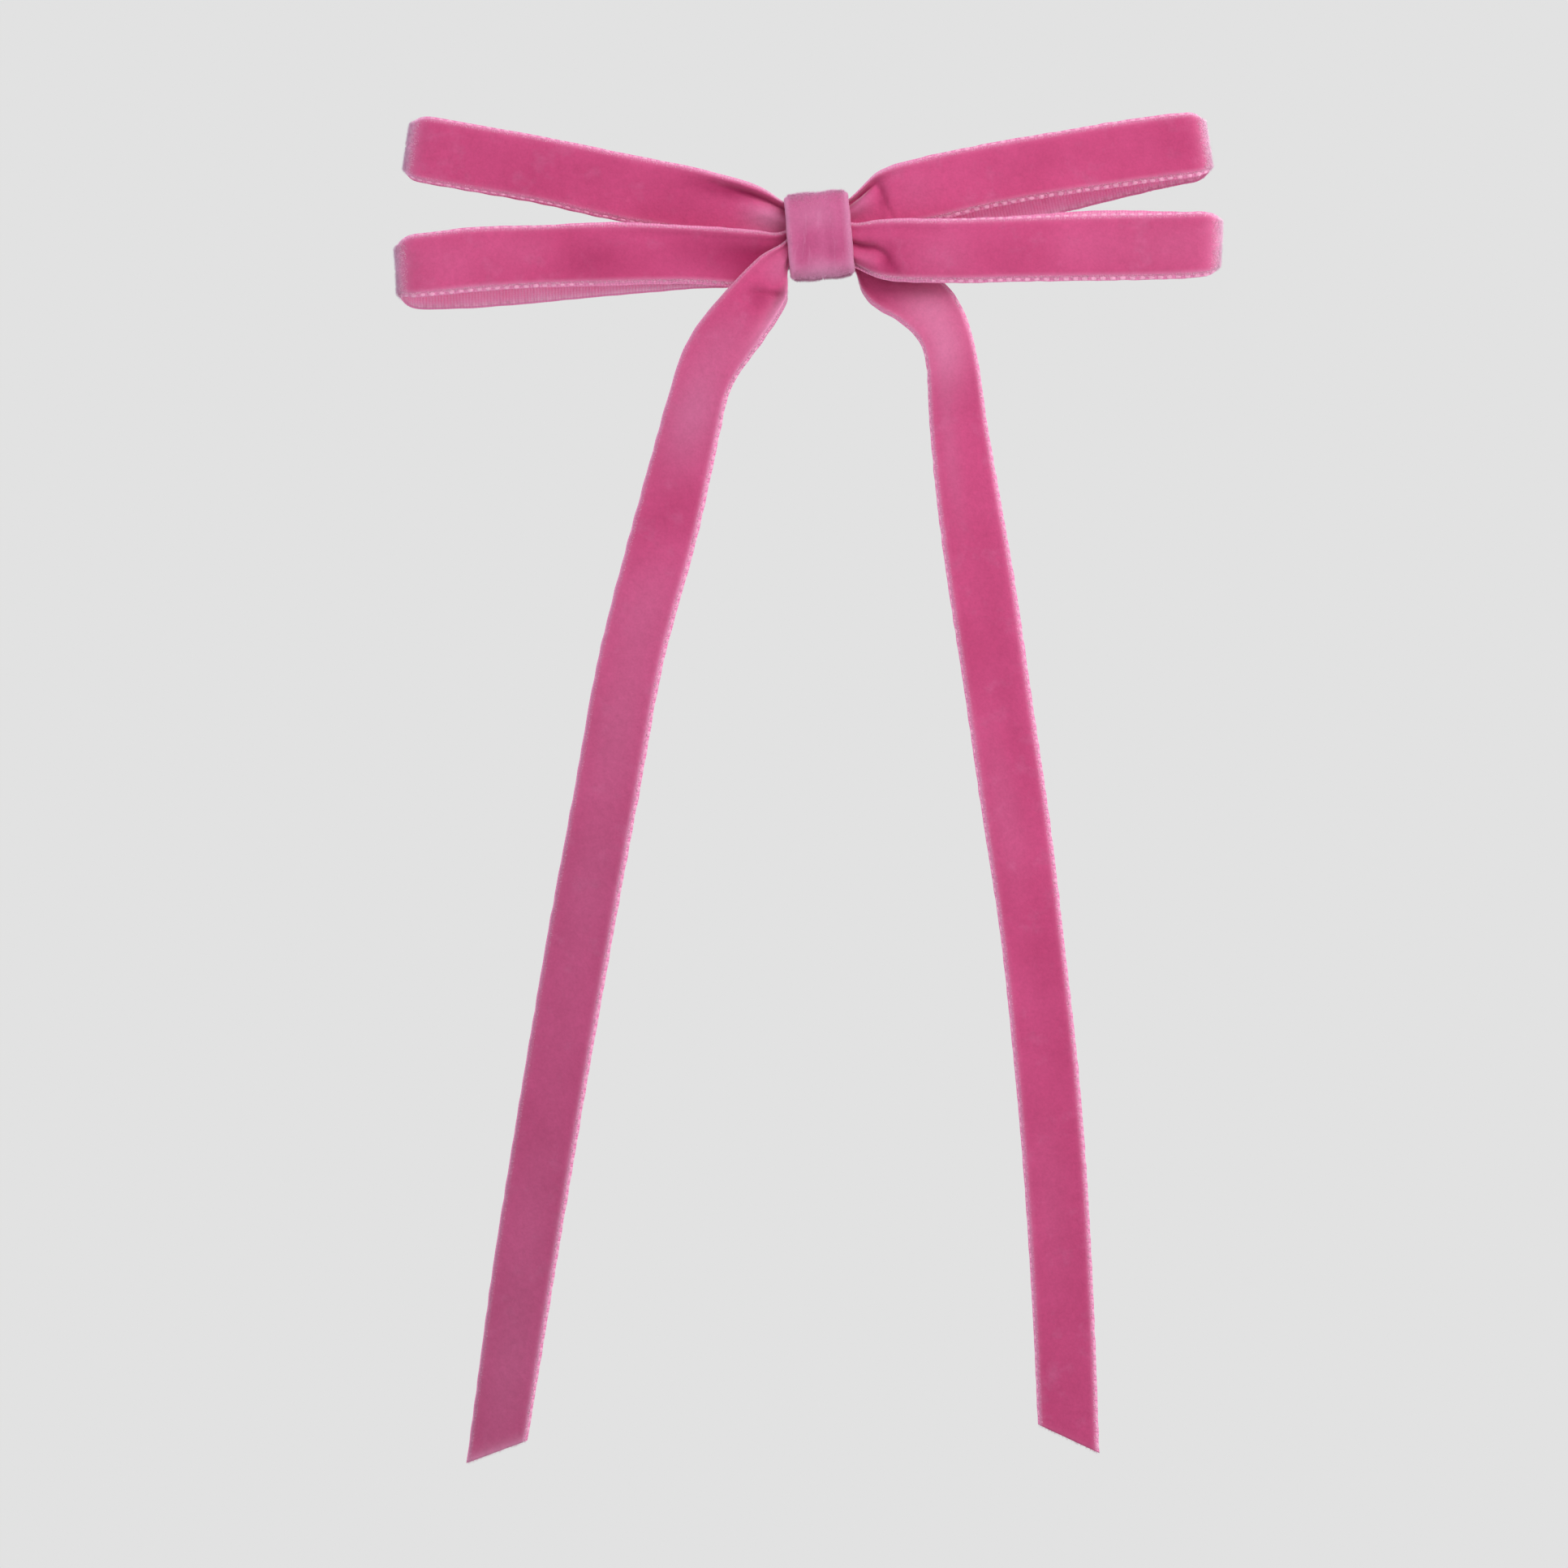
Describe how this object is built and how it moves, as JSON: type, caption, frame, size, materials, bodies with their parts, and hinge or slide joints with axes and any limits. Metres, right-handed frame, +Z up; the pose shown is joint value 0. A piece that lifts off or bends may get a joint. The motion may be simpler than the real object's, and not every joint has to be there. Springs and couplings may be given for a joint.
{
  "type": "velvet bow barrette",
  "caption": "Hair barrette: a looped velvet ribbon bow with long hanging tails, wrapped to an arched snap-clasp metal clip.",
  "frame": {"origin": "middle of the gap between the clip's tension bar and its closing arm, where the hair is held", "axes": "+Z up as worn, -Y out of the front of the bow, +Y towards the head, +X to the right of someone looking at the bow"},
  "size_m": [0.128, 0.0226, 0.2084],
  "materials": {
    "velvet": "short cut pile, soft sheen at grazing angles",
    "band_velvet": "short cut pile brushed flat, dusty",
    "thread": "twisted polyester sewing thread",
    "felt": "pressed felt",
    "clip_steel": "nickel-plated stamped steel"
  },
  "bodies": {
    "bow_and_bar": {"upper_left_loop": "velvet", "upper_right_loop": "velvet", "lower_left_loop": "velvet", "lower_right_loop": "velvet", "left_tail_root": "velvet", "right_tail_root": "velvet", "thread_tie": "thread", "knot_band": "band_velvet", "band_stitch_1": "thread", "band_stitch_2": "thread", "band_stitch_3": "thread", "felt_pad": "felt", "base_bar": "clip_steel", "hinge_pin": "clip_steel", "clasp_bridge": "clip_steel", "clasp_rivet": "clip_steel"},
    "arm": {"closing_arm": "clip_steel"},
    "leaf": {"tension_bar": "clip_steel"},
    "upper_jaw": {"clasp_jaw_upper": "clip_steel"},
    "lower_jaw": {"clasp_jaw_lower": "clip_steel"},
    "hanging_left_tail": {"left_tail": "velvet"},
    "hanging_right_tail": {"right_tail": "velvet"}
  },
  "joints": [
    {"name": "arm_hinge", "type": "hinge", "parent": "bow_and_bar", "child": "arm", "pos_m": [-0.0265, 0.0013, 0], "axis": [0, 0, 1], "range_deg": [0, 75]},
    {"name": "leaf_flex", "type": "hinge", "parent": "bow_and_bar", "child": "leaf", "pos_m": [-0.0234, -0.0014, 0], "axis": [0, 0, 1], "range_deg": [-1.6, 0], "stiffness_Nm_per_rad": 0.5, "springref_deg": 0.57},
    {"name": "upper_jaw_pinch", "type": "hinge", "parent": "bow_and_bar", "child": "upper_jaw", "pos_m": [0.0268, -0.0002, 0.00135], "axis": [-1, 0, 0], "range_deg": [0, 12], "stiffness_Nm_per_rad": 0.04},
    {"name": "lower_jaw_pinch", "type": "hinge", "parent": "bow_and_bar", "child": "lower_jaw", "pos_m": [0.0268, -0.0002, -0.00135], "axis": [1, 0, 0], "range_deg": [0, 12], "stiffness_Nm_per_rad": 0.04},
    {"name": "left_tail_swing", "type": "hinge", "parent": "bow_and_bar", "child": "hanging_left_tail", "pos_m": [-0.0192, -0.0146, -0.028], "axis": [-1, 0, 0], "range_deg": [-15, 60]},
    {"name": "right_tail_swing", "type": "hinge", "parent": "bow_and_bar", "child": "hanging_right_tail", "pos_m": [0.0217, -0.0115, -0.028], "axis": [-1, 0, 0], "range_deg": [-15, 60]}
  ]
}
